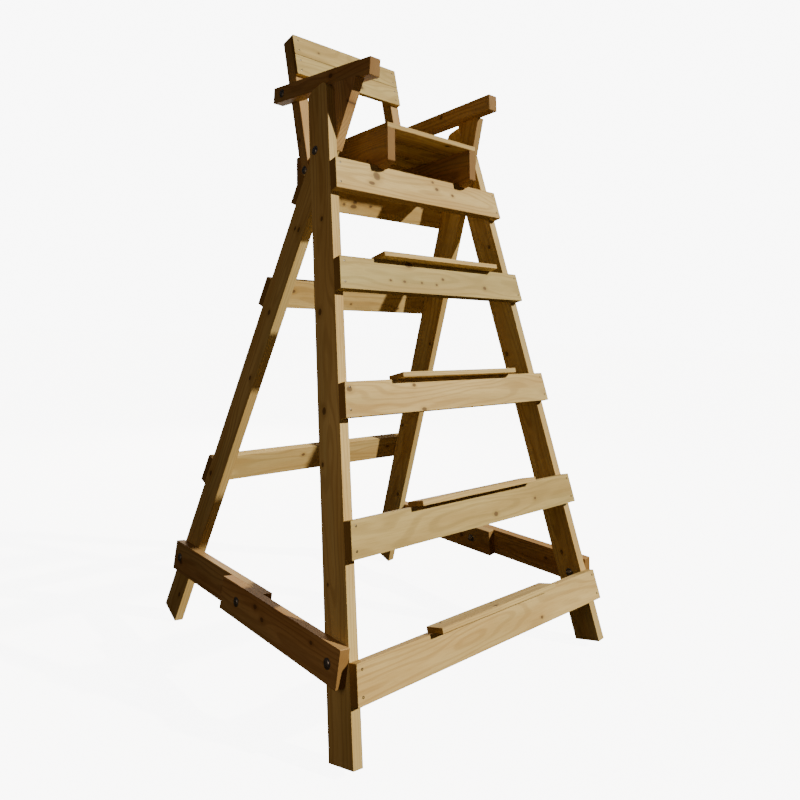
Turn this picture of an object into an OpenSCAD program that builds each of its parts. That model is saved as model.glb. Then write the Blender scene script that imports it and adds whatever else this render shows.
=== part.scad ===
// Timber lifeguard chair: an A-frame of planks with a ladder of boards and
// treads up the front, cross boards at the back, two jointed spreaders, and
// a seat with armrests and a leaning back on top.
// Millimetres.  +Z is up, the ladder faces -Y, +X is to the right of someone
// who faces the ladder, and the origin is on the ground, midway between the feet.

/* [Timber] */
// Thickness of the frame planks
board_t = 45; // [35:1:55]
// Width of the frame planks
board_w = 145; // [120:1:170]
// Thickness of the treads, seat planks and back boards
plank_t = 22; // [18:1:30]
// Sideways thickness of the back posts
post_t = 60; // [45:1:80]
// Sideways thickness of the armrests
arm_t = 60; // [45:1:80]

/* [A-frame] */
// Outside width of the front legs at the ground
base_w = 1630; // [1400:10:2000]
// Inward lean of both side frames, in degrees
splay = 7; // [4:0.1:9]
// Backward lean of the front legs, in degrees
front_lean = 15.7; // [12:0.1:20]
// Forward lean of the rear legs, in degrees
rear_lean = 20; // [16:0.1:26]
// Length of a front leg
front_leg_l = 2800; // [2400:10:3300]
// Height of the leg bolt above the foot, along the front leg
pivot_up = 2485; // [2100:5:2900]
// Distance of the leg bolt behind the front face of the front leg
pivot_in = 104; // [80:1:115]
// Distance of the leg bolt in front of the rear face of the rear leg
rear_pivot_in = 90; // [60:1:100]
// Length of rear leg above the leg bolt
rear_leg_top = 72; // [60:1:80]
// Corner radius of the leg tops
leg_round = 45; // [10:1:60]

/* [Ladder] */
// Height of the lowest front board above the feet, along the ladder
front_board_1 = 205; // [120:1:300]
// Height of the second front board
front_board_2 = 700; // [500:1:800]
// Height of the third front board
front_board_3 = 1233; // [1000:1:1320]
// Height of the fourth front board
front_board_4 = 1768; // [1520:1:1850]
// Height of the highest front board, which carries the seat
front_board_5 = 2225; // [2050:1:2300]
// Length of a tread
tread_l = 750; // [500:5:900]
// Width of a tread, from front to back
tread_w = 95; // [70:1:140]

/* [Rear boards] */
// Height of the lowest rear board above the feet, along the rear legs
rear_board_1 = 738; // [500:5:900]
// Height of the middle rear board
rear_board_2 = 1726; // [1200:5:1900]
// Height of the highest rear board, which carries the seat
rear_board_3 = 2245; // [2000:5:2300]

/* [Spreaders] */
// Height of the spreaders' lower edge above the ground, along the side frame
spreader_up = 290; // [200:5:500]
// Length of spreader beyond the leg bolts
spreader_end = 65; // [50:1:80]
// Length of spreader beyond the middle bolt
spreader_lap = 140; // [80:5:250]

/* [Seat] */
// Outside width of the seat, over its side cheeks
seat_w = 590; // [500:5:700]
// Height of the seat cheeks
cheek_h = 175; // [140:1:200]
// Length of the seat cheeks
cheek_l = 742; // [650:1:800]
// How far the seat reaches forward of the highest front board
seat_over = 77; // [40:1:120]
// Depth of the notches that seat the cheeks on the cross boards
notch = 13; // [8:1:25]
// Length of the bevel under the front end of a cheek
bevel_l = 60; // [20:1:90]
// Height of the bevel under the front end of a cheek
bevel_h = 25; // [10:1:40]
// Gap between two seat planks
seat_gap = 4; // [2:1:15]

/* [Back and armrests] */
// Depth of a back post, from front to back
post_d = 70; // [45:1:90]
// Distance from the highest front board back to the back post's bolt
post_back = 500; // [440:5:560]
// Backward lean of the back posts, in degrees
back_lean = 16; // [8:0.5:22]
// Length of back post below its bolt
post_below = 60; // [45:1:65]
// Length of back post above its bolt
post_above = 740; // [600:5:850]
// Height of one back board
back_board_h = 112; // [90:1:140]
// Gap between the two back boards
back_gap = 2; // [0:1:20]
// Height of an armrest
arm_h = 80; // [60:1:100]
// Length of an armrest
arm_l = 800; // [730:5:860]
// Length of armrest behind the back post's centre
arm_tail = 105; // [60:1:130]
// Height of the left armrest's front end above the highest front board
arm_front_left = 366; // [330:1:400]
// Height of the left armrest at the back post
arm_post_left = 402; // [320:1:430]
// Height of the right armrest's front end above the highest front board
arm_front_right = 388; // [330:1:400]
// Height of the right armrest at the back post
arm_post_right = 330; // [320:1:430]
// Width of a bracket at its foot
bracket_foot = 4; // [2:1:15]
// Height of the left bracket's foot above the highest front board
bracket_up_left = 60; // [50:1:180]
// Distance of the left bracket's foot behind the front leg's front face
bracket_in_left = 24; // [0:1:26]
// Height of the right bracket's foot above the highest front board
bracket_up_right = 140; // [50:1:180]
// Distance of the right bracket's foot behind the front leg's front face
bracket_in_right = 0; // [0:1:26]
// Forward lean of the brackets' front edges, in degrees
bracket_lean = 17; // [8:0.5:24]

/* [Hidden] */
pine = "#C8AF82";
pine_dark = "#8E6A42";
seat_planks = 5;

// Feet: each leg end is cut square, and its lowest corner is on the ground.
front_foot = board_t * tan(splay);
rear_foot = 2 * board_t * tan(splay);
front_base = front_foot + board_w * sin(front_lean);
rear_base = rear_foot + board_w * sin(rear_lean);

// The leg bolt, in the side frame: pivot_y behind the front foot, pivot_v up
// along the frame.
pivot_y = pivot_in * cos(front_lean) + pivot_up * sin(front_lean);
pivot_v = front_base - pivot_in * sin(front_lean) + pivot_up * cos(front_lean);
rear_up = (pivot_v - rear_base + rear_pivot_in * sin(rear_lean)) / cos(rear_lean);
foot_span = pivot_y + rear_pivot_in * cos(rear_lean) + rear_up * sin(rear_lean);
front_y = -foot_span / 2;
rear_y = foot_span / 2;
rear_leg_l = rear_up + rear_leg_top;

// Planes of the front and rear cross boards, through the legs' outer edges.
front_tilt = atan(tan(front_lean) / cos(splay));
rear_tilt = atan(tan(rear_lean) / cos(splay));
front_taper = tan(asin(sin(splay) * cos(front_lean)));
rear_taper = tan(asin(sin(splay) * cos(rear_lean)));
front_half = base_w / 2 - front_base * sin(splay);
rear_half = base_w / 2 - rear_base * sin(splay) - board_t * cos(splay);
front_z = front_base * cos(splay);
rear_z = rear_base * cos(splay) - board_t * sin(splay);

board_up = [front_board_1, front_board_2, front_board_3, front_board_4, front_board_5];
rear_board_up = [rear_board_1, rear_board_2, rear_board_3];

// Spreaders: bolts on the legs' centre lines, and one halfway between them.
spreader_v = spreader_up + board_w / 2;
front_bolt_y = front_y + board_w / 2 * cos(front_lean)
    + tan(front_lean) * (spreader_v - front_base + board_w / 2 * sin(front_lean));
rear_bolt_y = rear_y - board_w / 2 * cos(rear_lean)
    - tan(rear_lean) * (spreader_v - rear_base + board_w / 2 * sin(rear_lean));
middle_bolt_y = (front_bolt_y + rear_bolt_y) / 2;

// Seat: it rests on the front top edge of the highest front board and on the
// rear top edge of the highest rear board, and tilts by the line through them.
top_up = board_up[4] + board_w;
rest_y = front_y + top_up * sin(front_tilt) - board_t * cos(front_tilt);
rest_z = front_z + top_up * cos(front_tilt) + board_t * sin(front_tilt);
back_up = rear_board_3 + board_w;
back_rest_y = rear_y - back_up * sin(rear_tilt) + board_t * cos(rear_tilt);
back_rest_z = rear_z + back_up * cos(rear_tilt) + board_t * sin(rear_tilt);
seat_tilt = atan2(rest_z - back_rest_z, back_rest_y - rest_y);
seat_plank_w = (cheek_l - (seat_planks - 1) * seat_gap) / seat_planks;

// Back posts, on the outer faces of the cheeks; their bolt is at mid height.
post_mid = cheek_h / 2 - notch;
post_y = rest_y + post_back * cos(seat_tilt) + post_mid * sin(seat_tilt);
post_z = rest_z - post_back * sin(seat_tilt) + post_mid * cos(seat_tilt);
post_x = seat_w / 2;

// Armrests, on the outer faces of the back posts: the height of each bolt above
// the highest front board, and how far each armrest rises to the front.
arm_x = post_x + post_t;
function arm_bolt_up(side) = (side < 0 ? arm_post_left : arm_post_right) + arm_h / 2;
function arm_rise(side) = side < 0 ? arm_front_left - arm_post_left
                                   : arm_front_right - arm_post_right;
function bracket_up(side) = side < 0 ? bracket_up_left : bracket_up_right;
function bracket_in(side) = side < 0 ? bracket_in_left : bracket_in_right;
function bracket_reach(side) = board_t - bracket_up(side)
    + max(arm_front_left, arm_front_right, arm_post_left, arm_post_right);

// Mirrors the right-hand piece to the side: 1 is right, -1 is left.
module on_side(side) {
    if (side > 0) children();
    else mirror([1, 0, 0]) children();
}

// Side frame of the right side: a flat outline drawn with y to the rear and
// v up along the frame is stood up, its outer face lying layer out from the
// outer face of the front leg, and its thickness going inwards.
module side_plate(layer, thick) {
    translate([base_w / 2, 0, 0])
        rotate([0, -splay, 0])
            translate([layer - thick, 0, 0])
                rotate([90, 0, 90])
                    linear_extrude(thick) children();
}

// Local frame of the ladder: z up along it, y = 0 on the legs' front faces.
module ladder_frame() {
    translate([0, front_y, front_z]) rotate([-front_tilt, 0, 0]) children();
}

// Local frame of the rear legs: z up along them, y = 0 on their rear faces.
module rear_frame() {
    translate([0, rear_y, rear_z]) rotate([rear_tilt, 0, 0]) children();
}

// Local frame of the seat: y to the rear, z = 0 at the cheeks' resting line.
module seat_frame() {
    translate([0, rest_y, rest_z]) rotate([-seat_tilt, 0, 0]) children();
}

// Leg outline, foot at the origin and square, top with two round corners.
module leg_outline(length) {
    square([board_w, length - leg_round]);
    translate([leg_round, length - leg_round])
        circle(r = leg_round, $fn = 64);
    translate([board_w - leg_round, length - leg_round])
        circle(r = leg_round, $fn = 64);
    translate([leg_round, length - 2 * leg_round])
        square([board_w - 2 * leg_round, 2 * leg_round]);
}

module front_leg(side) {
    color(pine) on_side(side) side_plate(0, board_t)
        translate([front_y, front_base]) rotate(-front_lean)
            leg_outline(front_leg_l);
}

module rear_leg(side) {
    color(pine) on_side(side) side_plate(-board_t, board_t)
        translate([rear_y, rear_base]) rotate(rear_lean)
            translate([-board_w, 0]) leg_outline(rear_leg_l);
}

// Outline of a cross board whose ends follow the legs' inward lean.
module cross_outline(half, taper, up) {
    low = half - up * taper;
    high = half - (up + board_w) * taper;
    polygon([[-low, up], [low, up], [high, up + board_w], [-high, up + board_w]]);
}

module front_board(i) {
    color(pine) ladder_frame() rotate([90, 0, 0])
        linear_extrude(board_t) cross_outline(front_half, front_taper, board_up[i]);
}

module rear_board(i) {
    color(pine) rear_frame() translate([0, board_t, 0]) rotate([90, 0, 0])
        linear_extrude(board_t) cross_outline(rear_half, rear_taper, rear_board_up[i]);
}

// A tread lies on the top edge of its board and reaches out in front of it.
module tread(i) {
    color(pine) ladder_frame()
        translate([-tread_l / 2, -tread_w, board_up[i] + board_w])
            cube([tread_l, tread_w, plank_t]);
}

// Front half: outside the front leg.  Rear half: in the front leg's layer.
module spreader_front(side) {
    from = front_bolt_y - spreader_end;
    color(pine) on_side(side) side_plate(board_t, board_t)
        translate([from, spreader_up])
            square([middle_bolt_y + spreader_lap - from, board_w]);
}

module spreader_rear(side) {
    from = middle_bolt_y - spreader_lap;
    color(pine) on_side(side) side_plate(0, board_t)
        translate([from, spreader_up])
            square([rear_bolt_y + spreader_end - from, board_w]);
}

// Side outlines of the two boards that carry the seat, for the notches.
module carrier_outlines() {
    translate([front_y, front_z]) rotate(-front_tilt)
        translate([-board_t, board_up[4]]) square([board_t, board_w]);
    translate([rear_y, rear_z]) rotate(rear_tilt)
        translate([0, rear_board_up[2]]) square([board_t, board_w]);
}

module cheek_outline() {
    translate([rest_y, rest_z]) rotate(-seat_tilt)
        translate([-seat_over, -notch])
            polygon([[bevel_l, 0], [cheek_l, 0], [cheek_l, cheek_h],
                     [0, cheek_h], [0, bevel_h]]);
}

module seat_cheek(side) {
    color(pine_dark) on_side(side)
        translate([seat_w / 2 - board_t, 0, 0]) rotate([90, 0, 90])
            linear_extrude(board_t) difference() {
                cheek_outline();
                carrier_outlines();
            }
}

module seat_plank(i) {
    color(pine) seat_frame()
        translate([-seat_w / 2, i * (seat_plank_w + seat_gap) - seat_over, cheek_h - notch])
            cube([seat_w, seat_plank_w, plank_t]);
}

// Local frame of the back posts: z up along them from the bolt, y = 0 on
// their front faces.
module back_frame() {
    translate([0, post_y, post_z]) rotate([-back_lean, 0, 0])
        translate([0, -post_d / 2, 0]) children();
}

module back_post(side) {
    color(pine_dark) on_side(side) back_frame()
        translate([post_x, 0, -post_below])
            cube([post_t, post_d, post_below + post_above]);
}

module back_board(i) {
    low = post_above - (i + 1) * back_board_h - i * back_gap;
    color(pine) back_frame() translate([-arm_x, -plank_t, low])
        cube([2 * arm_x, plank_t, back_board_h]);
}

// Local frame of an armrest: y to the rear, origin at its bolt.
module arm_frame(side) {
    up = arm_bolt_up(side);
    translate([0, post_y + (rest_z + up - post_z) * tan(back_lean), rest_z + up])
        rotate([-asin(arm_rise(side) / (arm_l - arm_tail)), 0, 0]) children();
}

module armrest(side) {
    color(pine_dark) on_side(side) arm_frame(side)
        translate([arm_x, arm_tail - arm_l, -arm_h / 2]) cube([arm_t, arm_l, arm_h]);
}

// Bracket: flat against the inner face of the front leg, its front edge
// leaning forwards up to the armrest, its top cut to the armrest's underside.
module bracket(side) {
    reach = bracket_reach(side);
    low_v = (rest_z + bracket_up(side)) / cos(splay);
    low_y = front_y + (low_v - front_base) * tan(front_lean) + bracket_in(side);
    color(pine_dark) on_side(side) difference() {
        side_plate(-board_t, board_t) translate([low_y, low_v])
            polygon([[0, 0], [bracket_foot, 0],
                     [bracket_foot + reach * tan(front_lean), reach],
                     [-reach * tan(bracket_lean), reach]]);
        arm_frame(side) translate([0, -arm_l, -arm_h / 2])
            cube([base_w / 2, 2 * arm_l, reach]);
    }
}

front_leg(-1);  // front_leg_left
front_leg(1);  // front_leg_right
rear_leg(-1);  // rear_leg_left
rear_leg(1);  // rear_leg_right
front_board(0);  // front_board_1
front_board(1);  // front_board_2
front_board(2);  // front_board_3
front_board(3);  // front_board_4
front_board(4);  // front_board_5
tread(0);  // tread_1
tread(1);  // tread_2
tread(2);  // tread_3
tread(3);  // tread_4
rear_board(0);  // rear_board_1
rear_board(1);  // rear_board_2
rear_board(2);  // rear_board_3
spreader_front(-1);  // spreader_front_left
spreader_front(1);  // spreader_front_right
spreader_rear(-1);  // spreader_rear_left
spreader_rear(1);  // spreader_rear_right
seat_cheek(-1);  // seat_cheek_left
seat_cheek(1);  // seat_cheek_right
seat_plank(0);  // seat_plank_1
seat_plank(1);  // seat_plank_2
seat_plank(2);  // seat_plank_3
seat_plank(3);  // seat_plank_4
seat_plank(4);  // seat_plank_5
back_post(-1);  // back_post_left
back_post(1);  // back_post_right
back_board(0);  // back_board_1
back_board(1);  // back_board_2
armrest(-1);  // armrest_left
armrest(1);  // armrest_right
bracket(-1);  // bracket_left
bracket(1);  // bracket_right
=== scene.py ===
"""Timber lifeguard chair: finishes, fixings, stage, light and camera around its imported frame."""

from __future__ import annotations

import logging
import math
import random
from dataclasses import dataclass, field
from enum import Enum
from typing import Any, Callable

import bpy
from mathutils import Matrix, Vector


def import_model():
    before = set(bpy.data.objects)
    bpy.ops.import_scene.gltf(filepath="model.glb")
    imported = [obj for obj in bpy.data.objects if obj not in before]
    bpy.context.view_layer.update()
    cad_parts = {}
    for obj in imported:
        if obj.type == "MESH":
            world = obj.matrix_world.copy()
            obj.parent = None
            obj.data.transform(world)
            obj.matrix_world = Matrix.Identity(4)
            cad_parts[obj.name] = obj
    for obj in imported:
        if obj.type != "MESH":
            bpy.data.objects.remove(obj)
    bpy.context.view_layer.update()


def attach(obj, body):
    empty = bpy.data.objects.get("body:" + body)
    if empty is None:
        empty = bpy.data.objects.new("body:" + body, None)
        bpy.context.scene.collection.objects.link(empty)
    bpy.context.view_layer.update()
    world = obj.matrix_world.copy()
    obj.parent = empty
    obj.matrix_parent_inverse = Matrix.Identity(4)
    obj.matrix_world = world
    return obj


LOG = logging.getLogger("lifeguard_chair")
MM = 0.001
SIDES = ("left", "right")


class Tone(Enum):
    """Which colours a plank's grain is mixed from. The pale and the greenish tones are the timber's
    own. The other two are the same pine with painted shade in their colours, darker for parts seen
    mostly in shade, and the warmest of them also holds the seat cheeks' own warmer tone.
    """

    PALE = ("#D7BB78", "#C3A260", "#9C773A")
    GREENISH = ("#C6AE6C", "#B29758", "#8F753A")
    # Painted shade: the same pine as the pale tone, darkened for parts seen mostly in shade.
    SHADED_HONEY = ("#C09A60", "#A97F48", "#84592E")
    # The seat cheeks' own warmer tone, darkened further with painted shade for parts seen mostly in
    # shade.
    WARM_AND_SHADED = ("#A67C46", "#8E6434", "#6A4622")


class Face(Enum):
    """The side of a plank that something is fixed to, along the plank's thickness."""

    LOW = -1
    HIGH = 1


def linear(hex_colour: str) -> tuple[float, float, float, float]:
    """Turns an sRGB hex colour to a linear colour.

    Args:
        hex_colour: Six hex digits after a hash sign.

    Returns:
        Red, green, blue and an alpha of 1.
    """
    parts = [int(hex_colour[i : i + 2], 16) / 255 for i in (1, 3, 5)]
    red, green, blue = (p / 12.92 if p <= 0.04045 else ((p + 0.055) / 1.055) ** 2.4 for p in parts)
    return red, green, blue, 1.0


def add_node(
    tree: bpy.types.NodeTree,
    kind: str,
    settings: dict[Any, Any] | None = None,
    links: dict[Any, bpy.types.NodeSocket] | None = None,
) -> bpy.types.Node:
    """Adds a node with its settings and links.

    Args:
        tree: The material's or world's node tree.
        kind: The node's type, without its ShaderNode prefix.
        settings: Values of its properties, and of its inputs by name or number.
        links: The sockets that feed its inputs, by name or number.

    Returns:
        The new node.
    """
    node = tree.nodes.new("ShaderNode" + kind)
    for name, value in (settings or {}).items():
        if isinstance(name, str) and hasattr(node, name):
            setattr(node, name, value)
        else:
            node.inputs[name].default_value = value
    for name, socket in (links or {}).items():
        tree.links.new(socket, node.inputs[name])
    return node


def new_material(name: str) -> tuple[bpy.types.Material, bpy.types.NodeTree]:
    """Makes an empty node material.

    Args:
        name: The material's name.

    Returns:
        The material and its cleared node tree.
    """
    material = bpy.data.materials.new(name)
    material.use_nodes = True
    material.node_tree.nodes.clear()
    return material, material.node_tree


def put_down_tools() -> None:
    """Leaves edit mode and deselects everything, so that the next operator acts on one piece."""
    if bpy.context.object is not None and bpy.context.object.mode != "OBJECT":
        bpy.ops.object.mode_set(mode="OBJECT")
    bpy.ops.object.select_all(action="DESELECT")


def take_up(piece: bpy.types.Object) -> None:
    """Selects one piece alone and makes it active.

    Args:
        piece: The piece to work on.
    """
    put_down_tools()
    piece.select_set(True)
    bpy.context.view_layer.objects.active = piece


def pick_faces(piece: bpy.types.Object, wanted: Callable[[bpy.types.MeshPolygon], bool]) -> None:
    """Goes to edit mode with only the wanted faces selected.

    Args:
        piece: The active mesh.
        wanted: Tells whether a face is selected.
    """
    bpy.ops.object.mode_set(mode="EDIT")
    bpy.ops.mesh.select_mode(type="FACE")
    bpy.ops.mesh.select_all(action="DESELECT")
    bpy.ops.object.mode_set(mode="OBJECT")
    for face in piece.data.polygons:
        face.select = wanted(face)
    bpy.ops.object.mode_set(mode="EDIT")


def add_disc(name: str, sides: int, radius: float, low: float, high: float) -> bpy.types.Object:
    """Adds a short bar on the Z axis, as the start of a turned or hexagonal piece.

    Args:
        name: The piece's name.
        sides: Number of sides.
        radius: Radius over its corners.
        low: Height of its lower face.
        high: Height of its upper face.

    Returns:
        The new piece, active and selected.
    """
    put_down_tools()
    bpy.ops.mesh.primitive_cylinder_add(
        vertices=sides, radius=radius, depth=high - low, location=(0, 0, (low + high) / 2)
    )
    bpy.ops.object.transform_apply(location=True, rotation=True, scale=True)
    piece = bpy.context.object
    piece.name = name
    return piece


def step_top(inset: float, rise: float) -> None:
    """Insets the selected top face and moves it up or down.

    Args:
        inset: How far its rim comes in.
        rise: How far it then moves up.
    """
    bpy.ops.mesh.inset(thickness=inset)
    bpy.ops.transform.translate(value=(0, 0, rise))


def round_arrises(piece: bpy.types.Object, width: float, segments: int) -> None:
    """Bevels a new piece's sharp edges for good and shades it smooth between them.

    Args:
        piece: The piece to finish.
        width: Width of the bevel.
        segments: Number of facets across it.
    """
    take_up(piece)
    bevel = piece.modifiers.new("arris", "BEVEL")
    bevel.width = width
    bevel.segments = segments
    bevel.limit_method = "ANGLE"
    bevel.angle_limit = math.radians(40)
    bpy.ops.object.modifier_apply(modifier=bevel.name)
    bpy.ops.object.shade_smooth_by_angle(angle=math.radians(35))


def copy_of(pattern: bpy.types.Object, name: str, place: Matrix) -> bpy.types.Object:
    """Copies a piece with its own mesh and puts the place into the mesh.

    Args:
        pattern: The piece that was modelled once, standing on the origin.
        name: The copy's name.
        place: Where the copy stands.

    Returns:
        The copy, with its object at the origin.
    """
    take_up(pattern)
    bpy.ops.object.duplicate(linked=False)
    copy = bpy.context.object
    copy.name = name
    copy.data.name = name
    copy.matrix_world = place
    bpy.ops.object.transform_apply(location=True, rotation=True, scale=True)
    return copy


def join_as(name: str, parts: list[bpy.types.Object]) -> bpy.types.Object:
    """Joins parts to one piece.

    Args:
        name: The joined piece's name.
        parts: What is joined; the first one stays.

    Returns:
        The joined piece.
    """
    take_up(parts[0])
    for part in parts[1:]:
        part.select_set(True)
    bpy.ops.object.join()
    joined = bpy.context.object
    joined.name = name
    joined.data.name = name
    return joined


def hand_over(piece: bpy.types.Object, material: bpy.types.Material) -> None:
    """Gives a finished new piece its material and its body.

    Args:
        piece: The finished piece.
        material: Its finish.
    """
    piece.data.materials.clear()
    piece.data.materials.append(material)
    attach(piece, "root")
    LOG.info("%s: %d faces", piece.name, len(piece.data.polygons))


@dataclass(frozen=True)
class Knot:
    """A knot through a plank: its place from the plank's low corner, and its size, in mm."""

    along: float
    across: float
    radius: float
    stretch: float = 1.35


KNOTS: dict[str, tuple[Knot, ...]] = {
    "front_board_5": (
        Knot(241, 92, 19, 1.0),
        Knot(205, 52, 8, 2.0),
        Knot(605, 124, 6),
        Knot(627, 90, 8),
    ),
    "front_board_4": (
        Knot(406, 132, 12, 1.8),
        Knot(282, 52, 5),
        Knot(365, 51, 6),
        Knot(473, 52, 5),
        Knot(568, 48, 5),
        Knot(910, 52, 8),
    ),
    "front_board_3": (Knot(34, 113, 10), Knot(427, 8, 7, 2.0)),
    "front_board_2": (Knot(1132, 63, 6),),
    "rear_board_3": (Knot(341, 63, 8), Knot(338, 42, 9, 2.0)),
    "front_leg_left": (Knot(1717, 107, 10), Knot(1291, 101, 11)),
    "rear_leg_left": (Knot(2165, 49, 9), Knot(1398, 46, 8)),
    "spreader_front_left": (Knot(595, 102, 9),),
}


@dataclass
class Plank:
    """A frame node measured as a plank, with its own axes: length, width and thickness."""

    name: str
    piece: bpy.types.Object
    axes: tuple[Vector, Vector, Vector]
    low: Vector
    size: Vector

    @classmethod
    def of(cls, name: str) -> Plank:
        """Measures a frame node.

        The widest faces give its thickness axis, the widest of the faces square to them its
        width axis, and each axis points the way that its largest part is positive.

        Args:
            name: The node's name.

        Returns:
            The measured plank.
        """
        piece = bpy.data.objects[name]
        faces = sorted(piece.data.polygons, key=lambda face: -face.area)
        areas: list[list[Any]] = []
        for face in faces:
            for group in areas:
                if abs(group[0].dot(face.normal)) > 0.999:
                    group[1] += face.area
                    break
            else:
                areas.append([face.normal.copy(), face.area])
        areas.sort(key=lambda group: -group[1])
        thick = areas[0][0]
        wide = next(group[0] for group in areas if abs(group[0].dot(thick)) < 0.02)
        axes = []
        for axis in (wide.cross(thick), wide, thick):
            largest = max(axis, key=abs)
            axes.append((axis * math.copysign(1, largest)).normalized())
        points = [Vector([v.co.dot(axis) for axis in axes]) for v in piece.data.vertices]
        low = Vector([min(p[i] for p in points) for i in range(3)])
        high = Vector([max(p[i] for p in points) for i in range(3)])
        return cls(name, piece, (axes[0], axes[1], axes[2]), low, high - low)

    def point(self, along: float, across: float, deep: float) -> Vector:
        """Gives a point by its distances, in mm, from the plank's low corner.

        Args:
            along: Distance along the length.
            across: Distance along the width.
            deep: Distance along the thickness.

        Returns:
            The point in the shared frame.
        """
        steps = Vector((along, across, deep)) * MM + self.low
        return sum((axis * step for axis, step in zip(self.axes, steps)), Vector())

    def place(self, along: float, across: float, face: Face, stand: float = 0.0) -> Matrix:
        """Gives the place of a fixing whose Z axis points out of a face.

        Args:
            along: Distance along the length, in mm.
            across: Distance along the width, in mm.
            face: The side it stands on.
            stand: How far it stands off that side, in mm.

        Returns:
            Its place as a matrix.
        """
        deep = (self.size.z / MM + stand) if face is Face.HIGH else -stand
        out = self.axes[2] * face.value
        across_axis = out.cross(self.axes[0])
        turn = Matrix((self.axes[0], across_axis, out)).transposed().to_4x4()
        return Matrix.Translation(self.point(along, across, deep)) @ turn

    def along_at_x(self, x: float) -> float:
        """Gives the distance in mm along a cross board at which it stands at x."""
        return (x / self.axes[0].x - self.low.x) / MM

    def x_at_height(self, height: float) -> float:
        """Gives the x of a leg's centre line at a height above the ground."""
        middle = self.point(*(part / MM / 2 for part in self.size))
        return middle.x + (height - middle.z) * self.axes[0].x / self.axes[0].z


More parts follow.
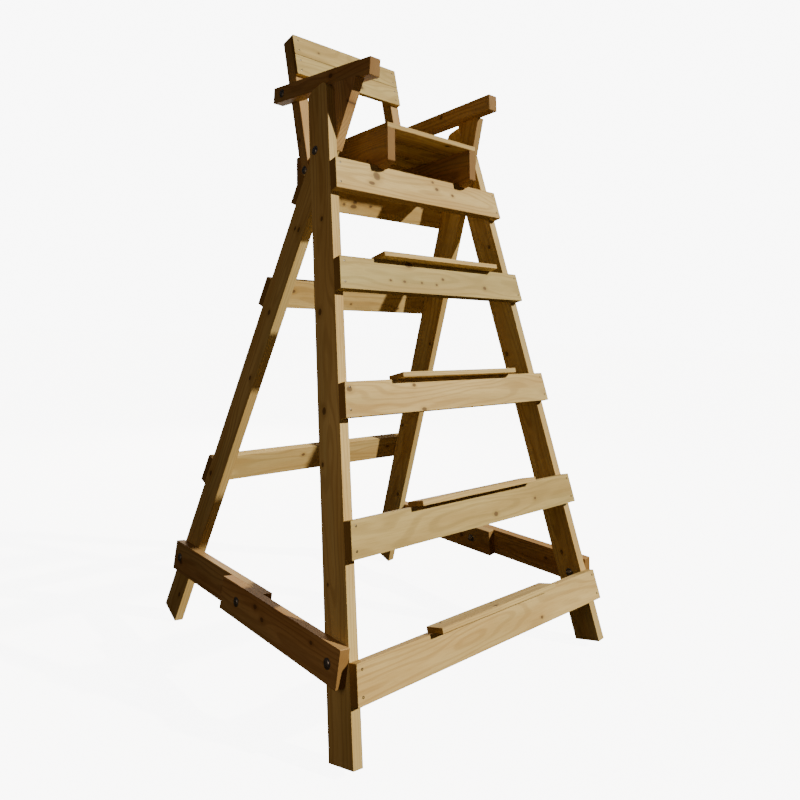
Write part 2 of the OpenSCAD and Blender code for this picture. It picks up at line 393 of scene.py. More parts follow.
@dataclass(frozen=True)
class SawnPine:
    """Pressure-treated pine, sawn and left bare: a matt, fibrous surface, with growth rings that
    run as lines along the faces and as arcs on the ends, knots that the lines part round, and a
    faint green left by the treatment."""

    tone: Tone
    # Rings are 3 to 5 mm apart in such timber; they are drawn 11 mm apart, which still shows.
    ring_mm: float = 11.0
    ring_depth: float = 0.34
    # Fibres are under 1 mm wide; they are drawn about 4 mm wide, which still shows.
    fibre_mm: float = 4.0
    fibre_depth: float = 0.30
    treatment: str = "#A9A26A"
    treatment_depth: float = 0.30
    knot: str = "#6F5029"
    knot_rim: str = "#3C2A13"
    end: str = "#805C26"
    bump_mm: float = 0.5

    def dress(self, plank: Plank, knots: tuple[Knot, ...], seed: int) -> None:
        """Gives a plank its own cut of timber and slightly rounded arrises.

        Args:
            plank: The plank to dress.
            knots: Its knots.
            seed: Which cut of timber it gets.
        """
        material, tree = new_material(f"sawn_pine_{plank.name}")
        draw = random.Random(seed)
        local = self.grain_axes(tree, plank)
        moved = add_node(
            tree,
            "VectorMath",
            {"operation": "ADD", 1: (draw.uniform(-40, 40), draw.uniform(-9, 9), 0)},
            {0: local},
        ).outputs[0]
        pushed, ring_push = self.part_grain(tree, plank, knots, local)
        rings = self.rings(tree, draw, pushed, moved, ring_push)
        fibres = self.stretched_noise(tree, moved, 14.0, 1000 / self.fibre_mm, 4.0)
        broad = self.stretched_noise(tree, moved, 1.6, 13.0, 2.0)
        green = self.stretched_noise(tree, moved, 0.9, 6.0, 3.0)
        sap, heart, late = self.tone.value
        colour = self.blend(tree, (broad, 0.30, 0.70, 1.0), sap, heart)
        colour = self.blend(tree, (rings, 0.45, 0.98, self.ring_depth), colour, late)
        colour = self.blend(tree, (fibres, 0.42, 0.80, self.fibre_depth), colour, late)
        colour = self.blend(tree, (green, 0.45, 0.75, self.treatment_depth), colour, self.treatment)
        colour = self.darken_arrises(tree, plank, local, fibres, colour)
        colour = self.draw_knots(tree, plank, knots, local, fibres, colour)
        colour = self.end_grain(tree, plank, colour)
        height = add_node(
            tree,
            "Math",
            {"operation": "MULTIPLY_ADD", 1: 0.35},
            {0: rings, 2: fibres},
        )
        bump = add_node(
            tree,
            "Bump",
            {"Strength": 0.55, "Distance": self.bump_mm * MM},
            {"Height": height.outputs[0]},
        )
        rough = add_node(
            tree, "MapRange", {"To Min": 0.62, "To Max": 0.84}, {"Value": fibres}
        )
        shader = add_node(
            tree,
            "BsdfPrincipled",
            {"IOR": 1.5, "Specular IOR Level": 0.35},
            {
                "Base Color": colour,
                "Roughness": rough.outputs[0],
                "Normal": bump.outputs[0],
            },
        )
        add_node(tree, "OutputMaterial", {}, {"Surface": shader.outputs[0]})
        for slot in plank.piece.material_slots:
            slot.material = material
        if not plank.piece.material_slots:
            plank.piece.data.materials.append(material)
        self.ease_edges(plank.piece)
        LOG.info("%s: %d knots, %s", plank.name, len(knots), self.tone.name.lower())

    def grain_axes(self, tree: bpy.types.NodeTree, plank: Plank) -> bpy.types.NodeSocket:
        """Turns and centres the pattern on the plank: X along it, Y across it, Z through it.

        Args:
            tree: The material's node tree.
            plank: The plank it is for.

        Returns:
            The socket with the plank's own coordinates, in metres.
        """
        along, across = plank.axes[:2]
        turn = Matrix((along, across, along.cross(across)))
        middle = turn @ plank.point(*(part / MM / 2 for part in plank.size))
        source = add_node(tree, "TexCoord")
        mapping = add_node(
            tree,
            "Mapping",
            {"vector_type": "POINT", "Rotation": turn.to_euler(), "Location": -middle},
            {"Vector": source.outputs["Object"]},
        )
        return mapping.outputs[0]

    def stretched_noise(
        self,
        tree: bpy.types.NodeTree,
        vector: bpy.types.NodeSocket,
        along: float,
        across: float,
        detail: float,
    ) -> bpy.types.NodeSocket:
        """Draws noise that is long along the grain.

        Args:
            tree: The material's node tree.
            vector: The plank's coordinates.
            along: Waves in a metre along the grain.
            across: Waves in a metre across it.
            detail: Octaves of finer noise.

        Returns:
            The noise, from 0 to 1.
        """
        scaled = add_node(
            tree, "VectorMath", {"operation": "MULTIPLY", 1: (along, across, across)}, {0: vector}
        )
        noise = add_node(
            tree, "TexNoise", {"Scale": 1.0, "Detail": detail}, {"Vector": scaled.outputs[0]}
        )
        return noise.outputs["Fac"]

    def rings(
        self,
        tree: bpy.types.NodeTree,
        draw: random.Random,
        vector: bpy.types.NodeSocket,
        moved: bpy.types.NodeSocket,
        push: bpy.types.NodeSocket | None,
    ) -> bpy.types.NodeSocket:
        """Draws growth rings round a pith line that runs along the plank, just outside it.

        Args:
            tree: The material's node tree.
            draw: Picks where the pith lies.
            vector: The plank's coordinates, parted round the knots.
            moved: The same coordinates, moved to this plank's own cut.
            push: Not used when there are no knots.

        Returns:
            The rings, from 0 in early wood to 1 in late wood.
        """
        wander = self.stretched_noise(tree, moved, 1.1, 5.0, 2.0)
        side = draw.choice((-1, 1))
        pith = (0.0, draw.uniform(-0.03, 0.03), side * draw.uniform(0.05, 0.09))
        off_pith = add_node(tree, "VectorMath", {"operation": "ADD", 1: pith}, {0: vector})
        taper = add_node(
            tree,
            "VectorMath",
            {"operation": "SCALE", 0: (0.0, 0.05, side * 0.11)},
            {"Scale": wander},
        )
        bent = add_node(
            tree,
            "VectorMath",
            {"operation": "ADD"},
            {0: off_pith.outputs[0], 1: taper.outputs[0]},
        )
        wave = add_node(
            tree,
            "TexWave",
            {
                "wave_type": "RINGS",
                "rings_direction": "X",
                "wave_profile": "SIN",
                "Scale": 2 * math.pi / (20 * self.ring_mm * MM),
                "Distortion": 0.0,
            },
            {"Vector": bent.outputs[0]},
        )
        if push is None:
            return wave.outputs["Fac"]
        calm = add_node(
            tree, "Math", {"operation": "MULTIPLY"}, {0: wave.outputs["Fac"], 1: push}
        )
        return calm.outputs[0]

    def knot_reach(
        self,
        tree: bpy.types.NodeTree,
        plank: Plank,
        knot: Knot,
        vector: bpy.types.NodeSocket,
    ) -> tuple[bpy.types.NodeSocket, bpy.types.NodeSocket]:
        """Measures how far each point is from a knot's middle.

        Args:
            tree: The material's node tree.
            plank: The plank.
            knot: One of its knots.
            vector: The plank's coordinates.

        Returns:
            The offset from the knot, and its length in knot radii.
        """
        middle = Vector((knot.along, knot.across, 0)) * MM - plank.size / 2
        offset = add_node(
            tree, "VectorMath", {"operation": "SUBTRACT", 1: (middle.x, middle.y, 0)}, {0: vector}
        )
        scale = 1 / (knot.radius * MM)
        flat = add_node(
            tree,
            "VectorMath",
            {"operation": "MULTIPLY", 1: (scale / knot.stretch, scale, 0)},
            {0: offset.outputs[0]},
        )
        reach = add_node(tree, "VectorMath", {"operation": "LENGTH"}, {0: flat.outputs[0]})
        return offset.outputs[0], reach.outputs["Value"]

    def part_grain(
        self,
        tree: bpy.types.NodeTree,
        plank: Plank,
        knots: tuple[Knot, ...],
        vector: bpy.types.NodeSocket,
    ) -> tuple[bpy.types.NodeSocket, bpy.types.NodeSocket | None]:
        """Parts the grain lines round the knots.

        Args:
            tree: The material's node tree.
            plank: The plank.
            knots: Its knots.
            vector: The plank's coordinates.

        Returns:
            The parted coordinates, and a factor that calms the rings inside the knots.
        """
        calm = None
        for knot in knots:
            offset, reach = self.knot_reach(tree, plank, knot, vector)
            near = add_node(
                tree,
                "MapRange",
                {"interpolation_type": "SMOOTHSTEP", "From Max": 3.2, "To Min": 0.75, "To Max": 0.0},
                {"Value": reach},
            )
            shift = add_node(
                tree, "VectorMath", {"operation": "SCALE"}, {0: offset, "Scale": near.outputs[0]}
            )
            across = add_node(
                tree,
                "VectorMath",
                {"operation": "MULTIPLY", 1: (0, -1, 0)},
                {0: shift.outputs[0]},
            )
            vector = add_node(
                tree, "VectorMath", {"operation": "ADD"}, {0: vector, 1: across.outputs[0]}
            ).outputs[0]
            inside = add_node(
                tree,
                "MapRange",
                {"interpolation_type": "SMOOTHSTEP", "From Min": 0.9, "From Max": 1.5},
                {"Value": reach},
            ).outputs[0]
            if calm is None:
                calm = inside
            else:
                calm = add_node(
                    tree, "Math", {"operation": "MULTIPLY"}, {0: calm, 1: inside}
                ).outputs[0]
        return vector, calm

    def blend(
        self,
        tree: bpy.types.NodeTree,
        mask: tuple[bpy.types.NodeSocket, float, float, float],
        under: bpy.types.NodeSocket | str,
        over: bpy.types.NodeSocket | str,
    ) -> bpy.types.NodeSocket:
        """Lays one colour over another.

        Args:
            tree: The material's node tree.
            mask: A value, where it starts to show, where it shows fully, and how much then.
            under: The colour below, as a socket or in hex.
            over: The colour on top, as a socket or in hex.

        Returns:
            The mixed colour.
        """
        value, low, high, amount = mask
        ranged = add_node(
            tree,
            "MapRange",
            {
                "interpolation_type": "SMOOTHSTEP",
                "From Min": low,
                "From Max": high,
                "To Max": amount,
            },
            {"Value": value},
        )
        settings: dict[Any, Any] = {"data_type": "RGBA"}
        links = {0: ranged.outputs[0]}
        for number, colour in ((6, under), (7, over)):
            if isinstance(colour, str):
                settings[number] = linear(colour)
            else:
                links[number] = colour
        return add_node(tree, "Mix", settings, links).outputs[2]

    def draw_knots(
        self,
        tree: bpy.types.NodeTree,
        plank: Plank,
        knots: tuple[Knot, ...],
        vector: bpy.types.NodeSocket,
        fibres: bpy.types.NodeSocket,
        colour: bpy.types.NodeSocket,
    ) -> bpy.types.NodeSocket:
        """Draws the knots: a brown middle with a darker rim, and a stain around it.

        Args:
            tree: The material's node tree.
            plank: The plank.
            knots: Its knots.
            vector: The plank's coordinates.
            fibres: The fibre noise, which frays the rims.
            colour: The timber's colour so far.

        Returns:
            The colour with the knots in it.
        """
        for knot in knots:
            reach = self.knot_reach(tree, plank, knot, vector)[1]
            frayed = add_node(
                tree, "Math", {"operation": "MULTIPLY_ADD", 1: 0.5}, {0: fibres, 2: reach}
            ).outputs[0]
            colour = self.blend(tree, (frayed, 3.4, 1.1, 0.42), colour, self.tone.value[2])
            colour = self.blend(tree, (frayed, 1.55, 1.15, 0.65), colour, self.knot_rim)
            colour = self.blend(tree, (frayed, 1.15, 0.75, 0.60), colour, self.knot)
        return colour

    def darken_arrises(
        self,
        tree: bpy.types.NodeTree,
        plank: Plank,
        vector: bpy.types.NodeSocket,
        fibres: bpy.types.NodeSocket,
        colour: bpy.types.NodeSocket,
    ) -> bpy.types.NodeSocket:
        """Browns the last few millimetres beside the long edges, where hands and dirt reach.

        Args:
            tree: The material's node tree.
            plank: The plank.
            vector: The plank's coordinates.
            fibres: The fibre noise, which frays the line.
            colour: The timber's colour so far.

        Returns:
            The colour with worn arrises.
        """
        split = add_node(
            tree,
            "SeparateXYZ",
            {},
            {
                0: add_node(
                    tree, "VectorMath", {"operation": "ABSOLUTE"}, {0: vector}
                ).outputs[0]
            },
        )
        gaps = []
        for number in (1, 2):
            half = plank.size[number] / 2
            gap = add_node(
                tree, "Math", {"operation": "SUBTRACT", 0: half}, {1: split.outputs[number]}
            )
            gaps.append(gap.outputs[0])
        edge = add_node(tree, "Math", {"operation": "MAXIMUM"}, {0: gaps[0], 1: gaps[1]})
        frayed = add_node(
            tree,
            "Math",
            {"operation": "MULTIPLY_ADD", 1: 8 * MM},
            {0: fibres, 2: edge.outputs[0]},
        )
        mask = (frayed.outputs[0], 9 * MM, 4 * MM, 0.22)
        return self.blend(tree, mask, colour, self.tone.value[2])

    def end_grain(
        self, tree: bpy.types.NodeTree, plank: Plank, colour: bpy.types.NodeSocket
    ) -> bpy.types.NodeSocket:
        """Makes the sawn ends browner, because end grain soaks up more of the treatment.

        Args:
            tree: The material's node tree.
            plank: The plank.
            colour: The timber's colour so far.

        Returns:
            The colour with its ends stained.
        """
        surface = add_node(tree, "NewGeometry")
        facing = add_node(
            tree,
            "VectorMath",
            {"operation": "DOT_PRODUCT", 1: plank.axes[0]},
            {0: surface.outputs["True Normal"]},
        )
        size = add_node(
            tree, "Math", {"operation": "ABSOLUTE"}, {0: facing.outputs["Value"]}
        )
        return self.blend(tree, (size.outputs[0], 0.75, 0.9, 0.8), colour, self.end)

    def ease_edges(self, piece: bpy.types.Object) -> None:
        """Closes a frame node's loose triangles and rounds its arrises by 3 mm.

        Args:
            piece: The frame node.
        """
        weld = piece.modifiers.new("closed", "WELD")
        weld.merge_threshold = 0.00005
        bevel = piece.modifiers.new("arris", "BEVEL")
        bevel.width = 3 * MM
        bevel.segments = 3
        bevel.limit_method = "ANGLE"
        bevel.angle_limit = math.radians(30)
        bevel.harden_normals = False


@dataclass(frozen=True)
class ZincPlated:
    """Zinc-plated steel, left outdoors: a grey metal with a dulled, uneven gloss."""

    name: str = "zinc_plated_steel"
    bright: str = "#BFC0C4"
    dull: str = "#86837F"
    # Spots of dulling are about 2 mm; they are drawn 6 mm wide, which still shows.
    spot_mm: float = 6.0

    def build(self) -> bpy.types.Material:
        """Makes the metal's material, with duller, rougher spots on it."""
        material, tree = new_material(self.name)
        source = add_node(tree, "TexCoord")
        noise = add_node(
            tree,
            "TexNoise",
            {"Scale": 1000 / self.spot_mm, "Detail": 3.0},
            {"Vector": source.outputs["Object"]},
        )
        spots = add_node(
            tree,
            "MapRange",
            {"interpolation_type": "SMOOTHSTEP", "From Min": 0.4, "From Max": 0.62},
            {"Value": noise.outputs["Fac"]},
        )
        colour = add_node(
            tree,
            "Mix",
            {"data_type": "RGBA", 6: linear(self.bright), 7: linear(self.dull)},
            {0: spots.outputs[0]},
        )
        rough = add_node(
            tree, "MapRange", {"To Min": 0.28, "To Max": 0.5}, {"Value": spots.outputs[0]}
        )
        shader = add_node(
            tree,
            "BsdfPrincipled",
            {"Metallic": 1.0},
            {"Base Color": colour.outputs[2], "Roughness": rough.outputs[0]},
        )
        add_node(tree, "OutputMaterial", {}, {"Surface": shader.outputs[0]})
        return material


@dataclass
class BoltSet:
    """A coach bolt through planks: a domed head on a washer, and a nut on a washer behind.
    Sizes are in mm."""

    head_d: float = 34.0
    head_h: float = 6.0
    washer_d: float = 42.0
    washer_t: float = 2.2
    nut_across: float = 24.0
    nut_h: float = 12.0
    thread_d: float = 16.0
    thread_out: float = 6.0
    head: bpy.types.Object | None = None
    nut: bpy.types.Object | None = None

    def model(self) -> None:
        """Models one head and one nut on the origin, to be copied."""
        self.head = self.model_head()
        self.nut = self.model_nut()

    def model_head(self) -> bpy.types.Object:
        """Models the domed head on its washer: stepped in and up from one disc.

        Returns:
            The head, standing on the origin with +Z outwards.
        """
        radius = self.washer_d / 2 * MM
        piece = add_disc("bolt_head", 48, radius, 0.0, self.washer_t * MM)
        pick_faces(piece, lambda face: face.normal.z > 0.9)
        step_top((self.washer_d - self.head_d) / 2 * MM, 0.0)
        step_top(0.1 * MM, 1.4 * MM)
        reach = self.head_d / 2 - 0.1
        steps = [(math.cos(a), math.sin(a)) for a in (math.radians(18 * k) for k in range(1, 5))]
        last = (1.0, 0.0)
        for across, up in steps:
            step_top((last[0] - across) * reach * MM, (up - last[1]) * (self.head_h - 1.4) * MM)
            last = (across, up)
        bpy.ops.object.mode_set(mode="OBJECT")
        round_arrises(piece, 0.5 * MM, 2)
        return piece

    def model_nut(self) -> bpy.types.Object:
        """Models the washer, the chamfered hexagon nut and the bolt's end.

        Returns:
            The three as one piece, standing on the origin with +Z outwards.
        """
        washer = add_disc("washer", 48, self.washer_d / 2 * MM, 0.0, self.washer_t * MM)
        pick_faces(washer, lambda face: face.normal.z > 0.9)
        step_top((self.washer_d - self.thread_d) / 2 * MM - 1 * MM, -0.4 * MM)
        bpy.ops.object.mode_set(mode="OBJECT")
        round_arrises(washer, 0.4 * MM, 2)
        low = self.washer_t * MM
        high = low + self.nut_h * MM
        nut = add_disc("nut", 6, self.nut_across / math.sqrt(3) * MM, low, high)
        pick_faces(nut, lambda face: face.normal.z > 0.9)
        step_top(1.8 * MM, 1.0 * MM)
        bpy.ops.object.mode_set(mode="OBJECT")
        round_arrises(nut, 0.6 * MM, 2)
        end = add_disc("bolt_end", 32, self.thread_d / 2 * MM, low, high + self.thread_out * MM)
        pick_faces(end, lambda face: face.normal.z > 0.9)
        step_top(1.2 * MM, 1.0 * MM)
        bpy.ops.object.mode_set(mode="OBJECT")
        round_arrises(end, 0.3 * MM, 2)
        return join_as("bolt_nut", [washer, nut, end])

    def fit(self, name: str, head: Matrix, nut: Matrix, steel: bpy.types.Material) -> None:
        """Copies a head and a nut to their places.

        Args:
            name: The bolt's name.
            head: Place of the head.
            nut: Place of the nut.
            steel: Their finish.
        """
        for pattern, part, place in ((self.head, "head", head), (self.nut, "nut", nut)):
            hand_over(copy_of(pattern, f"{name}_{part}", place), steel)

    def put_away(self) -> None:
        """Removes the two patterns that the copies were made from."""
        for pattern in (self.head, self.nut):
            bpy.data.objects.remove(pattern)


@dataclass
class ScrewSet:
    """A countersunk wood screw, of which only the head shows. Sizes are in mm."""

    head_d: float = 10.0
    proud: float = 0.4
    socket_d: float = 4.6
    socket_deep: float = 1.2
    head: bpy.types.Object | None = None

    def model(self) -> None:
        """Models one head on the origin, with its socket, to be copied."""
        piece = add_disc("screw_head", 20, self.head_d / 2 * MM, -1.8 * MM, self.proud * MM)
        pick_faces(piece, lambda face: face.normal.z > 0.9)
        step_top(0.6 * MM, 0.15 * MM)
        step_top((self.head_d - self.socket_d) / 2 * MM - 0.6 * MM, 0.0)
        step_top(0.2 * MM, -self.socket_deep * MM)
        bpy.ops.object.mode_set(mode="OBJECT")
        round_arrises(piece, 0.12 * MM, 1)
        self.head = piece

    def drive(self, name: str, places: list[Matrix], steel: bpy.types.Material) -> None:
        """Copies the head to its places in one plank and joins the copies.

        Args:
            name: The piece's name.
            places: Where the screws stand.
            steel: Their finish.
        """
        copies = [copy_of(self.head, f"{name}_{i}", place) for i, place in enumerate(places)]
        hand_over(join_as(name, copies), steel)

    def put_away(self) -> None:
        """Removes the pattern that the copies were made from."""
        bpy.data.objects.remove(self.head)


@dataclass
class Workshop:
    """What every sub-assembly needs: planks by name, fixings and their finishes."""

    bolts: BoltSet
    screws: ScrewSet
    bolt_steel: bpy.types.Material
    screw_steel: bpy.types.Material
    planks: dict[str, Plank] = field(default_factory=dict)
    seed: int = 11

    def plank(self, name: str) -> Plank:
        """Measures a plank the first time that it is asked for."""
        if name not in self.planks:
            self.planks[name] = Plank.of(name)
        return self.planks[name]

    def dress(self, name: str, tone: Tone, spare: int = 0) -> None:
        """Dresses a plank, with its own knots and a few that are picked at random.

        Args:
            name: The plank's name.
            tone: Its timber.
            spare: How many knots it gets besides those in the table.
        """
        self.seed += 1
        plank = self.plank(name)
        draw = random.Random(self.seed * 7)
        length, width = plank.size.x / MM, plank.size.y / MM
        more = tuple(
            Knot(
                length * (i + draw.uniform(0.15, 0.85)) / spare,
                width * draw.uniform(0.15, 0.85),
                draw.uniform(5, 10),
            )
            for i in range(spare)
        )
        SawnPine(tone).dress(plank, KNOTS.get(name, ()) + more, self.seed)

    def screw_rows(
        self, board: str, alongs: tuple[float, ...], acrosses: tuple[float, ...], face: Face
    ) -> None:
        """Drives screws into a board at every crossing of two sets of lines.

        Args:
            board: The board's name.
            alongs: Distances along it, in mm.
            acrosses: Distances across it, in mm.
            face: The side that the heads are on.
        """
        plank = self.plank(board)
        places = [plank.place(along, across, face) for along in alongs for across in acrosses]
        self.screws.drive(f"screws_{board}", places, self.screw_steel)

    def screw_to_legs(self, board: str, legs: str, face: Face) -> None:
        """Drives two screws through each end of a cross board into the leg behind it.

        Args:
            board: The board's name.
            legs: The legs' name, without a side.
            face: The side that the heads are on.
        """
        plank = self.plank(board)
        places = []
        for side in SIDES:
            leg = self.plank(f"{legs}_{side}")
            for across in (30.0, 122.0):
                height = plank.point(0, across, 0).z
                along = plank.along_at_x(leg.x_at_height(height))
                places.append(plank.place(along, across, face))
        self.screws.drive(f"screws_{board}", places, self.screw_steel)


@dataclass
class SideFrames:
    """The two leaning side frames: legs, spreaders and their bolts. Sizes are in mm."""

    board_t: float = 45.0
    board_w: float = 145.0
    pivot_up: float = 2485.0
    pivot_in: float = 104.0
    spreader_end: float = 65.0
    spreader_lap: float = 140.0

    def build(self, shop: Workshop) -> None:
        """Dresses the legs and spreaders and fits their bolts.

        Args:
            shop: Planks, fixings and finishes.
        """
        for side in SIDES:
            for name, tone, spare in (
                ("front_leg", Tone.PALE, 3),
                ("rear_leg", Tone.PALE, 4),
                # The spreaders get the tone that is darkened as painted shade.
                ("spreader_front", Tone.SHADED_HONEY, 2),
                ("spreader_rear", Tone.SHADED_HONEY, 2),
            ):
                plank = f"{name}_{side}"
                shop.dress(plank, tone, spare)
            self.fit_bolts(shop, side)

    def fit_bolts(self, shop: Workshop, side: str) -> None:
        """Fits the leg bolt and the three spreader bolts of one side.

        Args:
            shop: Planks, fixings and finishes.
            side: Left or right.
        """
        out, into = (Face.LOW, Face.HIGH) if side == "left" else (Face.HIGH, Face.LOW)
        leg = shop.plank(f"front_leg_{side}")
        front = shop.plank(f"spreader_front_{side}")
        rear = shop.plank(f"spreader_rear_{side}")
        middle = front.size.x / MM - self.spreader_lap
        last = rear.size.x / MM - self.spreader_end
        half = self.board_w / 2
        for name, plank, along, across in (
            ("leg_bolt", leg, self.pivot_up, self.pivot_in),
            ("spreader_bolt_front", front, self.spreader_end, half),
            ("spreader_bolt_middle", front, middle, half),
            ("spreader_bolt_rear", rear, last, half),
        ):
            shop.bolts.fit(
                f"{name}_{side}",
                plank.place(along, across, out),
                plank.place(along, across, into, self.board_t),
                shop.bolt_steel,
            )


@dataclass
class Ladder:
    """The ladder up the front: five boards and four treads. Sizes are in mm."""

    board_t: float = 45.0
    tread_l: float = 750.0
    tread_w: float = 95.0

    def build(self, shop: Workshop) -> None:
        """Dresses the boards and treads and drives their screws.

        Args:
            shop: Planks, fixings and finishes.
        """
        tones = (Tone.PALE, Tone.GREENISH, Tone.PALE, Tone.GREENISH, Tone.PALE)
        for number, tone in enumerate(tones, 1):
            name = f"front_board_{number}"
            shop.dress(name, tone, 1)
            shop.screw_to_legs(name, "front_leg", Face.LOW)
        for number in range(1, 5):
            name = f"tread_{number}"
            shop.dress(name, Tone.PALE, 1)
            ends = (60.0, self.tread_l / 2, self.tread_l - 60)
            shop.screw_rows(name, ends, (self.tread_w - self.board_t / 2,), Face.HIGH)


@dataclass
class RearBoards:
    """The three boards across the rear legs."""


    def build(self, shop: Workshop) -> None:
        """Dresses the boards and drives their screws.

        Args:
            shop: Planks, fixings and finishes.
        """
        for number in range(1, 4):
            name = f"rear_board_{number}"
            shop.dress(name, Tone.PALE, 3)
            shop.screw_to_legs(name, "rear_leg", Face.HIGH)


@dataclass
class Seat:
    """The seat: two cheeks and the planks on them. Sizes are in mm."""

    planks: int = 5
    cheek_t: float = 45.0
    seat_w: float = 590.0

    def build(self, shop: Workshop) -> None:
        """Dresses the cheeks and planks and drives their screws.

        Args:
            shop: Planks, fixings and finishes.
        """
        for side in SIDES:
            name = f"seat_cheek_{side}"
            # The cheeks get their own warmer tone, darkened further as painted shade.
            shop.dress(name, Tone.WARM_AND_SHADED, 1)
        inset = self.cheek_t / 2
        for number in range(1, self.planks + 1):
            name = f"seat_plank_{number}"
            shop.dress(name, Tone.PALE, 1)
            shop.screw_rows(name, (inset, self.seat_w - inset), (36.0, 109.0), Face.HIGH)


@dataclass
class BackAndArms:
    """The back posts and boards, the armrests and their brackets. Sizes are in mm."""

    post_t: float = 60.0
    post_d: float = 70.0
    post_below: float = 60.0
    cheek_t: float = 45.0
    arm_l: float = 800.0
    arm_h: float = 80.0
    arm_bolt_in: float = 82.0
    back_board_h: float = 112.0

    def build(self, shop: Workshop) -> None:
        """Dresses the posts, boards, armrests and brackets and fits their fixings.

        Args:
            shop: Planks, fixings and finishes.
        """
        for side in SIDES:
            # The posts, armrests and brackets get the tone that is darkened as painted shade.
            for name, tone in (
                ("back_post", Tone.SHADED_HONEY),
                ("armrest", Tone.SHADED_HONEY),
                ("bracket", Tone.SHADED_HONEY),
            ):
                plank = f"{name}_{side}"
                shop.dress(plank, tone, 1)
            self.fit_bolts(shop, side)
        for number in (1, 2):
            name = f"back_board_{number}"
            shop.dress(name, Tone.GREENISH, 2)
            length = shop.plank(name).size.x / MM
            inset = self.post_t / 2
            rows = (28.0, self.back_board_h - 28)
            shop.screw_rows(name, (inset, length - inset), rows, Face.LOW)

    def fit_bolts(self, shop: Workshop, side: str) -> None:
        """Fits the armrest's bolt and the back post's bolt of one side.

        Args:
            shop: Planks, fixings and finishes.
            side: Left or right.
        """
        out, into = (Face.LOW, Face.HIGH) if side == "left" else (Face.HIGH, Face.LOW)
        arm = shop.plank(f"armrest_{side}")
        post = shop.plank(f"back_post_{side}")
        along = self.arm_l - self.arm_bolt_in
        shop.bolts.fit(
            f"arm_bolt_{side}",
            arm.place(along, self.arm_h / 2, out),
            arm.place(along, self.arm_h / 2, into, self.post_t),
            shop.bolt_steel,
        )
        shop.bolts.fit(
            f"post_bolt_{side}",
            post.place(self.post_below, self.post_d / 2, out),
            post.place(self.post_below, self.post_d / 2, into, self.cheek_t),
            shop.bolt_steel,
        )


@dataclass(frozen=True)
class SoftLamp:
    """A round soft lamp: its power in watts, width in metres, colour and place."""

    name: str
    power: float
    width: float
    colour: str
    place: tuple[float, float, float]

    def make(self) -> bpy.types.Light:
        """Makes the lamp's light."""
        light = bpy.data.lights.new(self.name, "AREA")
        light.shape = "DISK"
        light.size = self.width
        light.energy = self.power
        light.color = linear(self.colour)[:3]
        return light


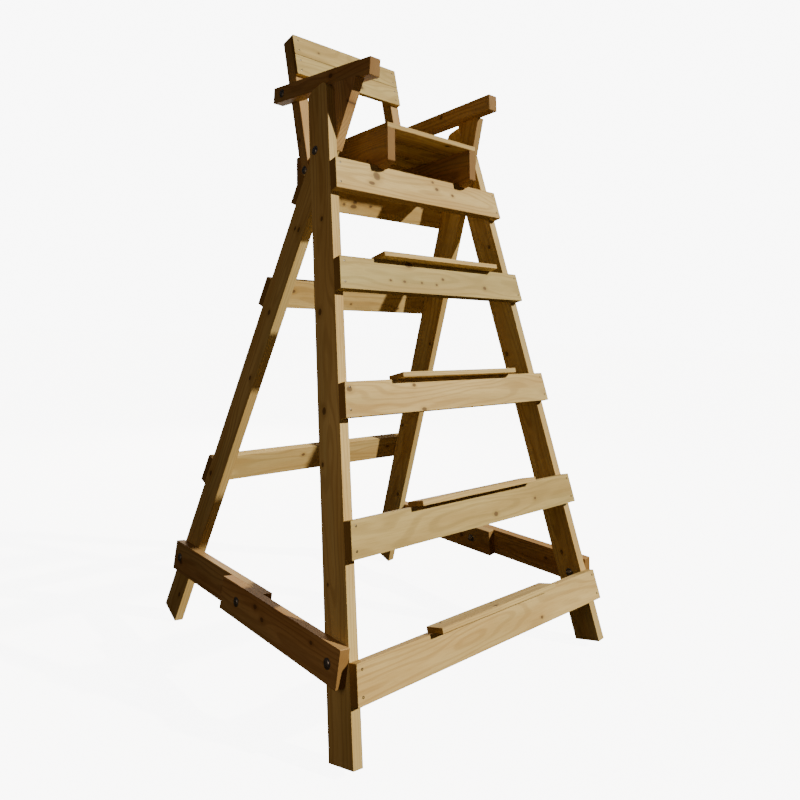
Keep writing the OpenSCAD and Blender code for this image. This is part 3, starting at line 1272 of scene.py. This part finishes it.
@dataclass
class Studio:
    """A plain pale floor, the lights, and the camera."""

    floor_r: float = 60.0
    floor_colour: str = "#E8E6E2"
    floor_glow: float = 8.0
    sky_strength: float = 0.03
    backdrop: float = 8.8
    sun_strength: float = 5.3
    sun_angle: float = 1.6
    sun_from: tuple[float, float, float] = (4.6, -7.6, 6.8)
    lamps: tuple[SoftLamp, ...] = (
        SoftLamp("left_fill", 12.0, 1.6, "#FFDCBC", (-3.0, -1.3, 1.7)),
        SoftLamp("back_fill", 330.0, 3.0, "#FFF1E0", (2.8, 5.6, 3.0)),
    )
    eye: tuple[float, float, float] = (-2.2752, -2.6673, 1.6300)
    yaw: float = 0.73620
    pitch: float = 0.027454
    roll: float = 0.033227
    focal_mm: float = 30.37
    shift: tuple[float, float] = (-0.0048, -0.0756)

    def build(self) -> None:
        """Sets the stage, the lights and the camera."""
        self.lay_floor()
        self.light_sky()
        self.hang_lamps()
        self.place_camera()

    def lay_floor(self) -> None:
        """Lays a wide matt disc as the floor, level with the feet."""
        put_down_tools()
        bpy.ops.mesh.primitive_circle_add(vertices=96, radius=self.floor_r, fill_type="NGON")
        floor = bpy.context.object
        floor.name = "floor"
        material, tree = new_material("matt_floor_paint")
        path = add_node(tree, "LightPath")
        paint = add_node(tree, "BsdfDiffuse", {"Color": linear(self.floor_colour)})
        glow = add_node(
            tree, "Emission", {"Color": linear("#FFFFFF"), "Strength": self.floor_glow}
        )
        seen = add_node(tree, "AddShader", {}, {0: paint.outputs[0], 1: glow.outputs[0]})
        bounce = add_node(tree, "BsdfDiffuse", {"Color": linear("#2B261F")})
        mix = add_node(
            tree,
            "MixShader",
            {},
            {0: path.outputs["Is Camera Ray"], 1: bounce.outputs[0], 2: seen.outputs[0]},
        )
        add_node(tree, "OutputMaterial", {}, {"Surface": mix.outputs[0]})
        floor.data.materials.append(material)
        LOG.info("floor laid")

    def light_sky(self) -> None:
        """Lights all round with a weak pale sky that looks white behind the chair."""
        world = bpy.data.worlds.new("studio")
        bpy.context.scene.world = world
        world.use_nodes = True
        tree = world.node_tree
        tree.nodes.clear()
        path = add_node(tree, "LightPath")
        fill = add_node(
            tree, "Background", {"Color": linear("#F4EEE4"), "Strength": self.sky_strength}
        )
        seen = add_node(
            tree, "Background", {"Color": linear("#FFFFFF"), "Strength": self.backdrop}
        )
        mix = add_node(
            tree,
            "MixShader",
            {},
            {0: path.outputs["Is Camera Ray"], 1: fill.outputs[0], 2: seen.outputs[0]},
        )
        add_node(tree, "OutputWorld", {}, {"Surface": mix.outputs[0]})

    def hang_lamps(self) -> None:
        """Hangs the sun, high in front and to the right, and the round soft lamps."""
        sun = bpy.data.lights.new("sun", "SUN")
        sun.energy = self.sun_strength
        sun.angle = math.radians(self.sun_angle)
        sun.color = linear("#FFF8EA")[:3]
        lights = [(sun, self.sun_from)]
        lights += [(lamp.make(), lamp.place) for lamp in self.lamps]
        for light, place in lights:
            hung = bpy.data.objects.new(light.name, light)
            bpy.context.scene.collection.objects.link(hung)
            hung.location = place
            hung.visible_camera = False
            aim = Vector((0, 0, 1.3)) - Vector(place)
            hung.rotation_euler = aim.to_track_quat("-Z", "Y").to_euler()
        LOG.info("lights hung")

    def place_camera(self) -> None:
        """Places the camera low at the left front, turned a little about its own axis."""
        forward = Vector(
            (
                math.sin(self.yaw) * math.cos(self.pitch),
                math.cos(self.yaw) * math.cos(self.pitch),
                -math.sin(self.pitch),
            )
        )
        level = Vector((math.cos(self.yaw), -math.sin(self.yaw), 0))
        upright = level.cross(forward)
        right = level * math.cos(self.roll) + upright * math.sin(self.roll)
        up = upright * math.cos(self.roll) - level * math.sin(self.roll)
        lens = bpy.data.cameras.new("camera")
        lens.sensor_width = 36.0
        lens.lens = self.focal_mm
        lens.shift_x, lens.shift_y = self.shift
        camera = bpy.data.objects.new("camera", lens)
        bpy.context.scene.collection.objects.link(camera)
        turn = Matrix((right, up, -forward)).transposed().to_4x4()
        camera.matrix_world = Matrix.Translation(Vector(self.eye)) @ turn
        bpy.context.scene.camera = camera
        LOG.info("camera placed")


def main() -> None:
    """Loads the frame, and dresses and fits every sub-assembly."""
    logging.basicConfig(level=logging.INFO, format="%(name)s: %(message)s")
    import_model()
    bolts = BoltSet()
    bolts.model()
    screws = ScrewSet()
    screws.model()
    shop = Workshop(
        bolts,
        screws,
        ZincPlated().build(),
        ZincPlated("zinc_plated_screws", "#4E4A46", "#2A2622", 3.0).build(),
    )
    SideFrames().build(shop)
    Ladder().build(shop)
    RearBoards().build(shop)
    Seat().build(shop)
    BackAndArms().build(shop)
    bolts.put_away()
    screws.put_away()
    Studio().build()


if __name__ == "__main__":
    main()
